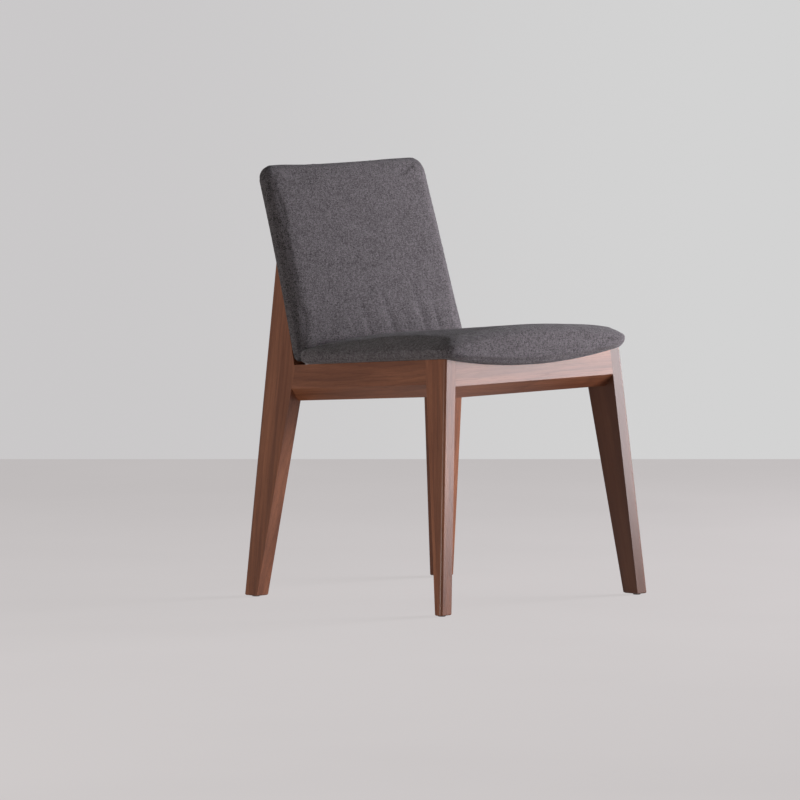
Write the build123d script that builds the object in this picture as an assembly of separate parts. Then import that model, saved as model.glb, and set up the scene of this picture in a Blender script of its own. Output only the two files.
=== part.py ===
"""Side chair: a splayed hardwood frame with a scooped bed, an upholstered seat and an upholstered back.

Millimetres. +Z is up, the front faces -Y and the sitter's left is +X. The origin is on the floor,
under the middle of the chair's outline.
"""
import os
from math import cos, radians, sin, sqrt, tan
from typing import NamedTuple

from build123d import *

# Stance of the four feet on the floor
front_foot_half = 265.4
rear_foot_half = 250.6
front_foot_reach = 256.0
rear_foot_reach = 236.9
leg_splay = 5.34
leg_round = 4.5
foot_ease = 1.5

# Glides under the feet
glide_height = 2.0
glide_diameter = 13.0
glide_pin_diameter = 3.0
glide_pin_length = 12.0
glide_pin_fit = 0.1

# Front legs: the front face leans back, and the rear face slants back from the outside to the inside
front_leg_thickness = 26.0
front_leg_rake = 3.87
front_foot_depth = 14.5
front_head_depth = 49.0
front_leg_slant = 18.0

# Rear legs: a tapered board that is widest at the seat and runs up behind the back to a tip
rear_leg_thickness = 28.0
rear_leg_rake = 2.47
rear_foot_depth = 32.1
rear_shin_rake = 8.44
post_tip_width = 2.5

# Seat frame: rails flush with the legs, tops scooped together, lower outer edges bevelled
seat_front_height = 440.0
seat_rake = 4.22
scoop_depth = 20.0
scoop_half = 224.0
rail_thickness = 28.0
side_rail_face = 43.0
front_rail_face = 48.0
rail_bevel = 22.0
rear_rail_height = 58.0
rear_rail_drop = 3.0
rear_rail_inset = 11.0

# Glued dowel joints, at drops below each rail's top edge
glue_gap = 0.1
dowel_diameter = 8.0
dowel_length = 38.0
dowel_end_room = 1.0
side_dowel_drops = (14.0, 38.0)
front_dowel_drops = (24.0, 46.0)
rear_dowel_drops = (16.0, 42.0)

# Corner blocks and their wood screws
front_block_reach = 80.0
block_height = 30.0
block_bolt_inset = 30.0
block_bolt_cover = 18.0
rear_bolt_margin = 28.0
screw_diameter = 4.0
screw_head_diameter = 8.0
screw_head_height = 3.0
screw_cover = 14.0
screw_bite = 20.0
screw_tip_room = 20.0
screw_fit = 0.1

# Seat cushion: bent panel, foam and a wrapped cover with a lining underneath
seat_overhang = 14.0
seat_clearance = 1.0
seat_crown = 49.0
seat_crown_radius = 1550.0
seat_crown_rake = 5.41
seat_front_corner = 29.0
seat_rear_corner = 14.0
seat_top_round = 12.0
seat_bottom_round = 9.0
seat_draw_in = 3.0
seat_panel_thickness = 12.0
cover_thickness = 1.5
layer_gap = 0.2
hem_width = 46.0

# Back cushion: flat panel, crowned foam and a closed cover
back_lean = 17.0
back_reach = 147.5
back_rise = 2.0
back_length = 355.0
back_side_overhang = 1.0
back_taper = 9.6
back_top_corner = 28.0
back_bottom_corner = 18.0
back_crown = 31.0
back_end_thickness = 24.5
back_side_radius = 5000.0
back_front_round = 14.0
back_rear_round = 4.0
back_draw_in = 3.3
back_panel_thickness = 12.0

# Machine bolts, tee nuts and wood plugs
bolt_diameter = 6.0
bolt_play = 0.3
bolt_head_diameter = 9.5
bolt_head_height = 4.0
washer_diameter = 16.0
washer_thickness = 1.5
nut_flange_diameter = 16.0
nut_flange_thickness = 1.5
nut_barrel_diameter = 8.5
nut_barrel_length = 8.0
nut_fit = 0.1
nut_sink = 1.5
post_bolt_rises = (38.0, 93.0)
post_bolt_seat = 11.0
post_bolt_inset = 19.0
plug_diameter = 10.0
plug_length = 8.0
plug_fit = 0.1

# Stock larger than the chair, which the members are cut from
stock_width = 800.0
stock_height = 1000.0
roll_length = 1600.0
crown_sweep = 20.0

SIDES = {"left": 1, "right": -1}

splay = tan(radians(leg_splay))
taper = (front_foot_half - rear_foot_half) / (front_foot_reach + rear_foot_reach)
side_stretch = sqrt(1 + splay**2 + taper**2)
front_slope = tan(radians(front_leg_rake))
rear_slope = tan(radians(rear_leg_rake))
shin_slope = tan(radians(rear_shin_rake))
lean_slope = tan(radians(back_lean))
rake_slope = tan(radians(seat_rake))
seat_front_reach = front_foot_reach - seat_front_height * front_slope
seat_up = Vector(0, sin(radians(seat_rake)), cos(radians(seat_rake)))
back_up = Vector(0, sin(radians(back_lean)), cos(radians(back_lean)))
back_front = Vector(0, -cos(radians(back_lean)), sin(radians(back_lean)))
bed_radius = (scoop_half**2 + scoop_depth**2) / (2 * scoop_depth)
seat_panel_top = cover_thickness + 2 * layer_gap + seat_panel_thickness
back_panel_top = cover_thickness + layer_gap + back_panel_thickness
nut_room = nut_barrel_length + nut_flange_thickness + nut_sink + cover_thickness
bolt_hole_diameter = bolt_diameter + bolt_play
shin_reach = rear_foot_reach - rear_foot_depth


def side_x(y, z):
    """Distance of the outer side plane from the middle, at a depth and a height."""
    return front_foot_half - splay * z - taper * (y + front_foot_reach)


def on_side(sign, y, z, depth=0.0):
    """Point in a side board, at a depth of wood from its outer face."""
    return Vector(sign * (side_x(y, z) - depth * side_stretch), y, z)


def seat_line(y):
    """Height of the rails' outer top edge at a depth."""
    return seat_front_height - rake_slope * (y + seat_front_reach)


def front_line(z):
    """Depth of the front plane at a height."""
    return front_slope * z - front_foot_reach


back_height = seat_line(back_reach)
back_bottom_half = side_x(back_reach, back_height) + back_side_overhang
back_top_half = back_bottom_half - back_taper
knee_z = (shin_reach - back_reach + back_height * lean_slope) / (lean_slope + shin_slope)
rear_rail_y = shin_reach - shin_slope * knee_z + rear_rail_inset
rear_rail_top = seat_line(rear_rail_y) - rear_rail_drop


# Planes of the frame: each normal leaves the wood


def flipped(plane):
    """The same plane with its normal turned round."""
    return Plane(origin=plane.origin, z_dir=-plane.z_dir)


def side_face(sign, depth=0.0):
    """Outer side plane, moved inwards by a depth of wood."""
    plane = Plane(origin=on_side(sign, -front_foot_reach, 0), z_dir=(sign, taper, splay))
    return plane.offset(-depth)


def front_face(depth=0.0):
    """Front plane of the front legs and the front rail, moved inwards."""
    return Plane(origin=(0, -front_foot_reach, 0), z_dir=(0, -1, front_slope)).offset(-depth)


def front_leg_back(sign):
    """Slanted rear face of a front leg."""
    foot_y = front_foot_depth - front_foot_reach
    head_y = front_head_depth - seat_front_reach
    foot = on_side(sign, foot_y, 0)
    head = on_side(sign, head_y, seat_front_height)
    across = Vector(-sign * front_leg_thickness, front_leg_slant, 0)
    return Plane(origin=foot, z_dir=across.cross(head - foot) * sign)


def shin_face():
    """Front edge of a rear leg, below the seat."""
    return Plane(origin=(0, shin_reach, 0), z_dir=(0, -1, -shin_slope))


def rear_face():
    """Rear edge of a rear leg."""
    return Plane(origin=(0, rear_foot_reach, 0), z_dir=(0, 1, rear_slope))


def back_face():
    """Front edge of a post, which the back cushion leans on."""
    return Plane(origin=(0, back_reach, back_height), z_dir=back_front)


def floor_face():
    """Underside of the legs, above the glides."""
    return Plane(origin=(0, 0, glide_height), z_dir=(0, 0, -1))


def below_seat(drop):
    """Plane a drop below the rails' outer top edge."""
    return Plane(origin=Vector(0, -seat_front_reach, seat_front_height) - seat_up * drop, z_dir=-seat_up)


# Stock and cutting


def stock():
    """A block of wood larger than any member."""
    return Pos(0, 0, stock_height / 2) * Box(stock_width, stock_width, stock_height)


def planed(wood, *planes):
    """Wood cut back to each plane, on the side that the normal leaves."""
    for plane in planes:
        wood = split(wood, bisect_by=plane, keep=Keep.BOTTOM)
    return wood


def side_board(sign, thickness):
    """Stock planed to the outer side plane and to a thickness."""
    return planed(stock(), side_face(sign), flipped(side_face(sign, thickness)))


def rear_leg_room():
    """Everything behind the front edges of the rear legs, with room for glue."""
    return planed(stock(), shin_face().offset(glue_gap), back_face().offset(glue_gap))


def meet(point, direction, plane):
    """Where a line through a point crosses a plane."""
    reach = (plane.origin - point).dot(plane.z_dir) / direction.dot(plane.z_dir)
    return point + direction * reach


def rod(start, direction, length, diameter):
    """Round bar from a start point along a direction."""
    return extrude(Plane(origin=start, z_dir=direction) * Circle(diameter / 2), length)


def roll(centre_height, radius, angle):
    """Large cylinder lying front to back and raked, which shapes the seat."""
    along = Vector(0, cos(radians(angle)), -sin(radians(angle)))
    up = Vector(0, sin(radians(angle)), cos(radians(angle)))
    centre = Vector(0, -seat_front_reach, seat_front_height) + up * centre_height
    return rod(centre - along * (roll_length / 2), along, roll_length, 2 * radius)


def bed_roll(height=0.0):
    """Everything above the scooped seat bed, raised by a height."""
    return roll(bed_radius - scoop_depth, bed_radius - height, seat_rake)


def crown_roll(inset=0.0):
    """Everything below the crowned top of the seat cushion, lowered by an inset."""
    return roll(seat_crown - seat_crown_radius, seat_crown_radius - inset, seat_crown_rake)


def nearest_edge(solid, point):
    """The edge of a solid that passes closest to a point."""
    return solid.edges().sort_by_distance(point)[0]


# Frame members


def front_leg(sign):
    """Splayed front leg, with its head cut to the seat bed."""
    board = side_board(sign, front_leg_thickness)
    wood = planed(board, front_face(), front_leg_back(sign), floor_face())
    wood = wood - bed_roll()
    shin_z = seat_front_height / 2
    wood = fillet(nearest_edge(wood, on_side(sign, front_line(shin_z), shin_z)), leg_round)
    return chamfer(wood.edges().group_by(Axis.Z)[0], foot_ease)


def rear_leg(sign):
    """Rear leg and post in one tapered board."""
    board = side_board(sign, rear_leg_thickness)
    wood = planed(board, rear_face(), shin_face(), back_face(), floor_face())
    tip_z = wood.bounding_box().max.Z - post_tip_width / (lean_slope + rear_slope)
    wood = planed(wood, Plane(origin=(0, 0, tip_z), z_dir=(0, 0, 1)))
    shin_z = seat_front_height / 2
    for depth in (0.0, rear_leg_thickness):
        arris = on_side(sign, rear_foot_reach - rear_slope * shin_z, shin_z, depth)
        wood = fillet(nearest_edge(wood, arris), leg_round)
    return chamfer(wood.edges().group_by(Axis.Z)[0], foot_ease)


def side_rail(sign):
    """Side rail from front leg to rear leg, with a bevelled lower edge."""
    edge = on_side(sign, 0, seat_line(0) - side_rail_face)
    wood = planed(
        side_board(sign, rail_thickness),
        flipped(front_leg_back(sign).offset(glue_gap)),
        below_seat(side_rail_face + rail_bevel),
        Plane(origin=edge, z_dir=side_face(sign).z_dir - seat_up),
    )
    return wood - rear_leg_room() - bed_roll()


def front_rail():
    """Front rail between the front legs, scooped above and bevelled below."""
    edge_z = seat_front_height - front_rail_face
    wood = planed(
        stock(),
        front_face(),
        flipped(front_face(rail_thickness)),
        Plane(origin=(0, 0, edge_z - rail_bevel), z_dir=(0, 0, -1)),
        Plane(origin=(0, front_line(edge_z), edge_z), z_dir=front_face().z_dir - Vector(0, 0, 1)),
        *[side_face(sign, front_leg_thickness + glue_gap) for sign in SIDES.values()],
    )
    return wood - bed_roll()


def rear_rail_face(depth=0.0):
    """Front of the rear rail, moved backwards."""
    return Plane(origin=(0, rear_rail_y + depth, 0), z_dir=(0, -1, 0))


def rear_rail():
    """Rear rail between the rear legs."""
    return planed(
        stock(),
        rear_rail_face(),
        flipped(rear_rail_face(rail_thickness)),
        Plane(origin=(0, 0, rear_rail_top), z_dir=(0, 0, 1)),
        Plane(origin=(0, 0, rear_rail_top - rear_rail_height), z_dir=(0, 0, -1)),
        *[side_face(sign, rear_leg_thickness + glue_gap) for sign in SIDES.values()],
    )


class Corner(NamedTuple):
    """What a corner block sits against, how far it reaches along it, and where its bolt is."""

    cross: Plane
    inner_depth: float
    reach: float
    bolt_inset: float

    def side(self, sign):
        """Plane of the block against the side rail."""
        return side_face(sign, self.inner_depth + glue_gap)

    def tip(self, sign):
        """Lower corner of the block, where the two rails' inner faces meet."""
        lowest = below_seat(scoop_depth + block_height)
        y = meet(Vector(0, 0, lowest.origin.Z), Vector(0, 1, 0), self.cross).Y
        z = meet(Vector(0, y, 0), Vector(0, 0, 1), lowest).Z
        return meet(Vector(0, y, z), Vector(1, 0, 0), self.side(sign))

    def to_cross(self):
        """Level direction from the block to its cross rail."""
        return Vector(0, 1 if self.cross.z_dir.Y > 0 else -1, 0)


def corner_block(sign, corner):
    """Three-cornered block glued between a side rail and a cross rail."""
    to_side = Vector(sign, 0, 0)
    diagonal = Plane(
        origin=corner.tip(sign) - to_side * corner.reach,
        z_dir=-to_side - corner.to_cross(),
    )
    lowest = below_seat(scoop_depth + block_height)
    return planed(stock(), corner.side(sign), corner.cross, diagonal, lowest) - bed_roll(-layer_gap)


# Cushions

seat_plane = Plane(origin=(0, -seat_front_reach, seat_front_height), x_dir=(1, 0, 0), z_dir=seat_up)
back_origin = meet(Vector(0, 0, back_height + back_rise), Vector(0, 1, 0), back_face())
back_plane = Plane(origin=back_origin, x_dir=(1, 0, 0), z_dir=back_front).offset(layer_gap)
seat_rear_y = back_origin.Y - cos(radians(back_lean)) * back_end_thickness - seat_clearance


def drawn_outline(corners, draw_in):
    """Closed outline through corners, with each side drawn in at its middle."""
    sides = []
    for start, end in zip(corners, corners[1:] + corners[:1]):
        along = Vector(end) - Vector(start)
        middle = (Vector(start) + Vector(end)) / 2
        sides.append(ThreePointArc(start, middle + along.normalized().rotate(Axis.Z, 90) * draw_in, end))
    return make_face(sides)


def seat_prism(inset):
    """Outline of the seat cushion, carried straight up and down."""
    front_half = side_x(-seat_front_reach, seat_front_height) + seat_overhang - inset
    rear_half = side_x(seat_rear_y, seat_line(seat_rear_y)) + seat_overhang - inset
    front = inset - seat_overhang
    rear = (seat_rear_y + seat_front_reach - seat_crown * seat_up.Y) / seat_up.Z - inset
    corners = [(-front_half, front), (front_half, front), (rear_half, rear), (-rear_half, rear)]
    front_corner = max(seat_front_corner - inset, cover_thickness)
    rear_corner = max(seat_rear_corner - inset, cover_thickness)
    outline = drawn_outline(corners, seat_draw_in)
    outline = fillet(outline.vertices().sort_by(Axis.Y)[:2], front_corner)
    outline = fillet(outline.vertices().sort_by(Axis.Y)[-2:], rear_corner)
    return extrude(seat_plane * outline, stock_width / 2, both=True)


def seat_body(inset=0.0):
    """Seat cushion between the scooped bed and the crown, with rounded edges."""
    body = seat_prism(inset) & crown_roll(inset) & bed_roll(inset + layer_gap)
    body = fillet(body.faces().sort_by(Axis.Z)[-1].edges(), seat_top_round - inset)
    return fillet(body.faces().sort_by(Axis.Z)[0].edges(), seat_bottom_round - inset)


def seat_parts():
    """Cover, lining, foam and panel of the seat."""
    inner = seat_body(cover_thickness + layer_gap)
    underside = bed_roll(cover_thickness + layer_gap)
    hem = seat_prism(hem_width) - underside
    lining = (seat_prism(hem_width + layer_gap) & bed_roll(layer_gap)) - underside
    return {
        "seat_cover": seat_body() - seat_body(cover_thickness) - hem,
        "seat_lining": lining,
        "seat_foam": inner & bed_roll(seat_panel_top + layer_gap),
        "seat_panel": inner - bed_roll(seat_panel_top),
    }


def back_crown_body(inset):
    """Crowned front of the back cushion, swept on a wide arc from side to side."""
    half = back_length / 2
    rise = back_crown - back_end_thickness
    radius = (half**2 + rise**2) / (2 * rise)
    ends = half + back_crown
    end_front = back_crown - inset - radius + sqrt(radius**2 - ends**2)
    arc = ThreePointArc((half - ends, end_front), (half, back_crown - inset), (half + ends, end_front))
    behind = Polyline(arc @ 1, (half + ends, -back_crown), (half - ends, -back_crown), arc @ 0)
    profile = Plane(origin=back_plane.origin, x_dir=back_up, z_dir=(1, 0, 0)) * make_face(arc + behind)
    pivot = Axis(back_plane.origin + back_front * (back_crown - back_side_radius), back_up)
    return revolve(profile, pivot, crown_sweep).rotate(pivot, -crown_sweep / 2)


def back_body(inset=0.0):
    """Back cushion with a flat rear, a crowned front and rounded edges."""
    top = back_length - inset
    corners = [(-back_bottom_half + inset, inset), (back_bottom_half - inset, inset)]
    corners += [(back_top_half - inset, top), (-back_top_half + inset, top)]
    outline = drawn_outline(corners, back_draw_in)
    outline = fillet(outline.vertices().sort_by(Axis.Y)[:2], back_bottom_corner - inset)
    outline = fillet(outline.vertices().sort_by(Axis.Y)[-2:], back_top_corner - inset)
    prism = extrude(back_plane.offset(inset) * outline, 2 * back_crown)
    body = prism & back_crown_body(inset)
    forward = Axis(back_plane.origin, back_front)
    body = fillet(body.faces().sort_by(forward)[-1].edges(), back_front_round - inset)
    return fillet(body.faces().sort_by(forward)[0].edges(), back_rear_round - inset)


def back_parts():
    """Cover, foam and panel of the back."""
    inner = back_body(cover_thickness + layer_gap)
    panel_front = back_plane.offset(back_panel_top)
    return {
        "back_cover": back_body() - back_body(cover_thickness),
        "back_foam": planed(inner, flipped(panel_front.offset(layer_gap))),
        "back_panel": planed(inner, panel_front),
    }


# Fasteners


def bolt(seat, direction, length):
    """Machine bolt with its head bearing on a seat point."""
    head = rod(seat, -direction, bolt_head_height, bolt_head_diameter)
    return head + rod(seat, direction, length, bolt_diameter)


def tee_nut(flange_seat, direction):
    """Tee nut with its flange on a seat point and its barrel against the direction."""
    flange = rod(flange_seat, direction, nut_flange_thickness, nut_flange_diameter)
    barrel = rod(flange_seat, -direction, nut_barrel_length, nut_barrel_diameter)
    thread = rod(flange_seat - direction * nut_barrel_length, direction, nut_room, bolt_hole_diameter)
    return flange + barrel - thread


def tee_nut_pocket(flange_seat, direction):
    """Room for a tee nut in a panel, open on the flange's side."""
    flange = rod(flange_seat, direction, nut_room, nut_flange_diameter + nut_fit)
    return flange + rod(flange_seat, -direction, nut_room, nut_barrel_diameter + nut_fit)


def wood_screw(mouth, direction):
    """Round-headed wood screw, with its head bearing on a seat point."""
    head = rod(mouth, -direction, screw_head_height, screw_head_diameter)
    return head + rod(mouth, direction, screw_cover + screw_bite, screw_diameter)


def wood_screw_hole(mouth, direction):
    """Hole for a wood screw, with a counterbore for its head."""
    length = screw_cover + screw_bite + screw_fit
    counterbore = rod(mouth, -direction, stock_width, screw_head_diameter + screw_fit)
    return counterbore + rod(mouth, direction, length, screw_diameter + screw_fit)


def dowel(centre, direction):
    """Glued dowel across a joint."""
    along = direction.normalized()
    return rod(centre - along * (dowel_length / 2), along, dowel_length, dowel_diameter)


def dowel_hole(centre, direction):
    """Hole for a dowel in both members of a joint."""
    along = direction.normalized()
    length = dowel_length + 2 * dowel_end_room
    return rod(centre - along * (length / 2), along, length, dowel_diameter + 2 * glue_gap)


def glide(foot):
    """Foot glide with a driven pin."""
    up = Vector(0, 0, 1)
    disc = rod(Vector(foot.X, foot.Y, 0), up, glide_height, glide_diameter)
    return disc + rod(foot, up, glide_pin_length, glide_pin_diameter)


def glide_hole(foot):
    """Hole for a glide's pin."""
    diameter = glide_pin_diameter + glide_pin_fit
    return rod(foot, Vector(0, 0, 1), glide_pin_length + glide_pin_fit, diameter)


# Assembly

rear_bolt_inset = rear_rail_y - seat_rear_y + rear_bolt_margin
CORNERS = {
    "front": Corner(
        cross=front_face(rail_thickness + glue_gap),
        inner_depth=max(rail_thickness, front_leg_thickness),
        reach=front_block_reach,
        bolt_inset=block_bolt_inset,
    ),
    "rear": Corner(
        cross=flipped(rear_rail_face(-glue_gap)),
        inner_depth=max(rail_thickness, rear_leg_thickness),
        reach=rear_bolt_inset + block_bolt_inset + block_bolt_cover,
        bolt_inset=rear_bolt_inset,
    ),
}
members = {"front_rail": front_rail(), "rear_rail": rear_rail()}
groups = {}


def add_to(group, solid):
    """One more loose piece of a group of like pieces."""
    groups.setdefault(group, []).append(solid)


def bore(hole, *names):
    """The same hole through each member that it crosses."""
    for name in names:
        members[name] = members[name] - hole


for side, sign in SIDES.items():
    members[f"front_leg_{side}"] = front_leg(sign)
    members[f"rear_leg_{side}"] = rear_leg(sign)
    members[f"side_rail_{side}"] = side_rail(sign)
    for end, corner in CORNERS.items():
        members[f"{end}_block_{side}"] = corner_block(sign, corner)
members.update(seat_parts())
members.update(back_parts())


def add_dowel(centre, direction, *names):
    """A dowel with its hole in two members."""
    bore(dowel_hole(centre, direction), *names)
    add_to("rail_dowels", dowel(centre, direction))


for side, sign in SIDES.items():
    across = Vector(sign, 0, 0)
    along = Vector(-sign * taper, 1, -rake_slope)
    for drop in front_dowel_drops:
        height = seat_front_height - drop
        start = Vector(0, front_line(height) + rail_thickness / 2, height)
        centre = meet(start, across, side_face(sign, front_leg_thickness))
        add_dowel(centre, across, "front_rail", f"front_leg_{side}")
    for drop in rear_dowel_drops:
        start = Vector(0, rear_rail_y + rail_thickness / 2, rear_rail_top - drop)
        centre = meet(start, across, side_face(sign, rear_leg_thickness))
        add_dowel(centre, across, "rear_rail", f"rear_leg_{side}")
    for drop in side_dowel_drops:
        start = on_side(sign, 0, seat_line(0) - drop, rail_thickness / 2)
        front_end = meet(start, along, front_leg_back(sign))
        rear_end = max(meet(start, along, plane).Y for plane in (shin_face(), back_face()))
        add_dowel(front_end, along, f"side_rail_{side}", f"front_leg_{side}")
        add_dowel(start + along * rear_end, along, f"side_rail_{side}", f"rear_leg_{side}")


def seat_bed(x):
    """Height of the scooped bed above its lowest line."""
    return bed_radius - sqrt(bed_radius**2 - x**2)


def fit_block(side, sign, end, corner):
    """Screws of one corner block, and the bolt that holds the seat down on it."""
    block = f"{end}_block_{side}"
    tip = corner.tip(sign)
    rise = seat_up * ((block_height + scoop_depth) / 2 + nut_sink)
    to_cross = corner.to_cross()
    to_side = Vector(sign, 0, 0)
    fixings = [
        (to_cross, -to_side, corner.cross, f"{end}_rail"),
        (to_side, -to_cross, corner.side(sign), f"side_rail_{side}"),
    ]
    for direction, away, face, rail in fixings:
        start = tip + away * (corner.reach - screw_tip_room) + rise
        mouth = meet(start, direction, face) - direction * screw_cover
        bore(wood_screw_hole(mouth, direction), block, rail)
        add_to("block_screws", wood_screw(mouth, direction))
    foot = tip - to_side * block_bolt_inset - to_cross * corner.bolt_inset
    foot = meet(foot, seat_up, below_seat(scoop_depth + block_height))
    panel_top = block_height + seat_bed(foot.X) + seat_panel_top
    flange = foot + seat_up * (panel_top - nut_sink - nut_flange_thickness)
    bearing = foot - seat_up * washer_thickness
    length = panel_top - nut_sink + washer_thickness
    shank_hole = rod(bearing, seat_up, length, bolt_hole_diameter)
    bore(shank_hole, block, "seat_lining", "seat_cover")
    bore(tee_nut_pocket(flange, seat_up), "seat_panel")
    add_to("seat_tee_nuts", tee_nut(flange, seat_up))
    add_to("seat_bolts", bolt(bearing, seat_up, length))
    add_to("seat_washers", rod(bearing, seat_up, washer_thickness, washer_diameter) - shank_hole)


for side, sign in SIDES.items():
    for end, corner in CORNERS.items():
        fit_block(side, sign, end, corner)
    post = f"rear_leg_{side}"
    for rise in post_bolt_rises:
        height = back_height + rise
        face_y = meet(Vector(0, 0, height), Vector(0, 1, 0), back_face()).Y
        front = on_side(sign, face_y, height, post_bolt_inset)
        seat = front - back_front * post_bolt_seat
        mouth = meet(seat, back_front, rear_face())
        counterbore = rod(seat, -back_front, stock_width, plug_diameter + plug_fit)
        shank = rod(seat, back_front, post_bolt_seat + back_panel_top, bolt_hole_diameter)
        bore(counterbore + shank, post)
        bore(shank, "back_cover")
        flange = front + back_front * (layer_gap + back_panel_top - nut_sink - nut_flange_thickness)
        bore(tee_nut_pocket(flange, back_front), "back_panel")
        add_to("back_tee_nuts", tee_nut(flange, back_front))
        length = post_bolt_seat + layer_gap + back_panel_top - nut_sink
        add_to("post_bolts", bolt(seat, back_front, length))
        plug = rod(mouth + back_front * plug_length, -back_front, 2 * plug_length, plug_diameter)
        add_to("post_plugs", planed(plug, rear_face()))

for name in [f"{end}_leg_{side}" for end in ("front", "rear") for side in SIDES]:
    foot = members[name].faces().sort_by(Axis.Z)[0].center()
    bore(glide_hole(foot), name)
    members[name.replace("leg", "glide")] = glide(foot)

os.makedirs("parts", exist_ok=True)
for name, solid in members.items():
    export_step(solid, f"parts/{name}.step")
for name, pieces in groups.items():
    export_step(Compound(children=pieces), f"parts/{name}.step")
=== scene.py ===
"""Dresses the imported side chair: walnut frame, simulated seat and back pads, lining, staples and stage."""

from math import cos, pi, sin

import bmesh
import bpy
import numpy as np
from bpy.props import FloatProperty, FloatVectorProperty, IntProperty, PointerProperty
from bpy.types import Operator, Panel, PropertyGroup
from mathutils import Matrix, Vector
from mathutils.bvhtree import BVHTree


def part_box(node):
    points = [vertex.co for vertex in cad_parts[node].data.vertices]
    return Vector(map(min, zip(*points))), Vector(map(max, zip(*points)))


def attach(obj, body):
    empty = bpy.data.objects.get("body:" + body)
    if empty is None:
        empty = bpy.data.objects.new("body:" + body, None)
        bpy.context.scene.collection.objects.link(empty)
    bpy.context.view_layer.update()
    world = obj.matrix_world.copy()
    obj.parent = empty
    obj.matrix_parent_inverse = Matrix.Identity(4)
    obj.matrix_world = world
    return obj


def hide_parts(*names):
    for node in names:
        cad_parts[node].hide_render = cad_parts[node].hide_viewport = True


bl_info = {
    "name": "Side chair",
    "version": (1, 0, 0),
    "blender": (4, 5, 0),
    "location": "3D View > Sidebar > Side chair",
    "description": "Dresses the packed side chair with its finishes and its upholstery",
    "category": "Object",
}

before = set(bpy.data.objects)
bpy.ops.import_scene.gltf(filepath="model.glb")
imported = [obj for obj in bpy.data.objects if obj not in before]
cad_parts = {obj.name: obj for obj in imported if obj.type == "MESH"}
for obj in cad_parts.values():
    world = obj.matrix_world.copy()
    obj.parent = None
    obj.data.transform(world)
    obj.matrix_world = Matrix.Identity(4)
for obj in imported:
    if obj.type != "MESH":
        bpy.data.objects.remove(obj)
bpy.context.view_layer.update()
BODY = "root"
ENDS = ("front", "rear")
SIDES = ("left", "right")
UP = Vector((0, 0, 1))
BACKGROUND_RAYS = ("Camera", "Glossy", "Transmission")

# Pull folds of the back: place across, width, share of the depth, height above the pad's bottom
PULL_FOLDS = (
    (-0.030, 0.008, 0.9, 0.125),
    (0.030, 0.010, 1.0, 0.135),
    (0.114, 0.009, 1.0, 0.150),
    (0.150, 0.006, 0.7, 0.115),
    (-0.068, 0.010, 0.5, 0.100),
    (0.070, 0.008, 0.4, 0.095),
    (-0.125, 0.011, 0.35, 0.090),
)

# Share of the wood's brightness for some members: for front_leg_left it is painted shade on its inner face
# under the seat, for the others it makes them lighter or darker than the rest
MEMBER_TONES_AND_SHADE = {
    # Painted shade: this leg's wood is darkened to stand in for the shade under the seat
    "front_leg_left": 0.42,
    "front_leg_right": 1.15,
    "rear_leg_right": 0.97,
    "side_rail_right": 0.97,
}

STEEL_NODES = ("seat_bolts", "seat_washers", "seat_tee_nuts", "post_bolts", "back_tee_nuts", "block_screws")

# Yarns: crossings over which one keeps its tone, shift of the tones from yarn to yarn in warp and weft,
# number that sets the weft's tones apart, share of a yarn's height that its crossings press down
YARN_RUN = 3.0
YARN_SHIFTS = (0.37, 0.61)
WEFT_START = 517.0
YARN_DIP = 0.45

# Pads: share of the smaller fall added at a corner, share of the side fall at the back's ends, lean of the
# pull folds, share of a fold's height that has its full depth, sharpness of the squared corners
CORNER_SHARE = 0.35
END_SHARE = 0.45
FOLD_LEAN = 0.2
FOLD_FULL = 0.45
CORNER_POWER = 8

# Zones of the pads, by the cosine between the cloth and the way up or forward: where the top and front fall,
# where the seat's flank swells below its nose and draws in above, where folds show, what the panel holds
TOP_ZONE = (-0.5, 0.7)
FRONT_ZONE = (-0.2, 0.8)
BELOW_NOSE = (-0.7, 0.25)
ABOVE_NOSE = (0.25, 0.9)
FOLD_ZONE = (0.3, 0.9)
SEAM_ZONE = (0.5, 0.9)
SEAT_HELD = -0.6
BACK_HELD = -0.8

# Top edge of the back: share of the lift at the middle, gain to the right and its distance, then the soft
# bump's gain, place and width
TOP_LIFT, TOP_GAIN, TOP_REACH = 0.62, 0.38, 0.12
TOP_BUMP, TOP_BUMP_PLACE, TOP_BUMP_WIDTH = 0.33, -0.15, 0.035

# Rows and lining: distance from which a ray is cast, points along a path, halvings that find a width, share
# of the width that the lining's outermost points reach, waves of its ripples in radians for each metre
RAY_START = 0.1
SEAM_POINTS = 160
STAPLE_POINTS = 60
HALVINGS = 18
LINING_SHARE = 0.999
WAVES_ACROSS, WAVES_ALONG, WAVES_ASIDE = 70, 60, 25

# Stage: depths between which the floor darkens, its shares of brightness there, its span in reaches,
# heights between which the glow dies out
FLOOR_DEPTHS = (-1.6, 2.6)
FLOOR_SHARES = (1.06, 0.93)
FLOOR_SPAN = 4
GLOW_HEIGHTS = (0.35, -0.1)

# Lamps: direction from their aim, distance, width and height, tint
LAMP_AIM = Vector((0, 0, 0.55))
LAMPS = {
    "window": ((0.717, -0.697, -0.03), 2.7, (1.1, 0.7), (0.97, 0.95, 1.0)),
    "sky": ((0.90, -0.38, 0.14), 3.0, (1.4, 0.9), (0.97, 0.95, 1.0)),
    "room": ((-0.97, -0.06, -0.10), 3.2, (1.8, 0.8), (1.0, 0.97, 0.92)),
}


# Settings


def colour(name, description, default):
    """A colour that a user can change."""
    return FloatVectorProperty(
        name=name, description=description, default=default, size=3, min=0, max=1, subtype="COLOR"
    )


def length(name, description, default):
    """A length in metres that a user can change."""
    return FloatProperty(name=name, description=description, default=default, unit="LENGTH", precision=4)


def angle(name, description, default):
    """An angle that a user can change, given in degrees."""
    return FloatProperty(name=name, description=description, default=default * pi / 180, subtype="ANGLE")


def amount(name, description, default):
    """A plain number that a user can change."""
    return FloatProperty(name=name, description=description, default=default, precision=3)


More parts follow.
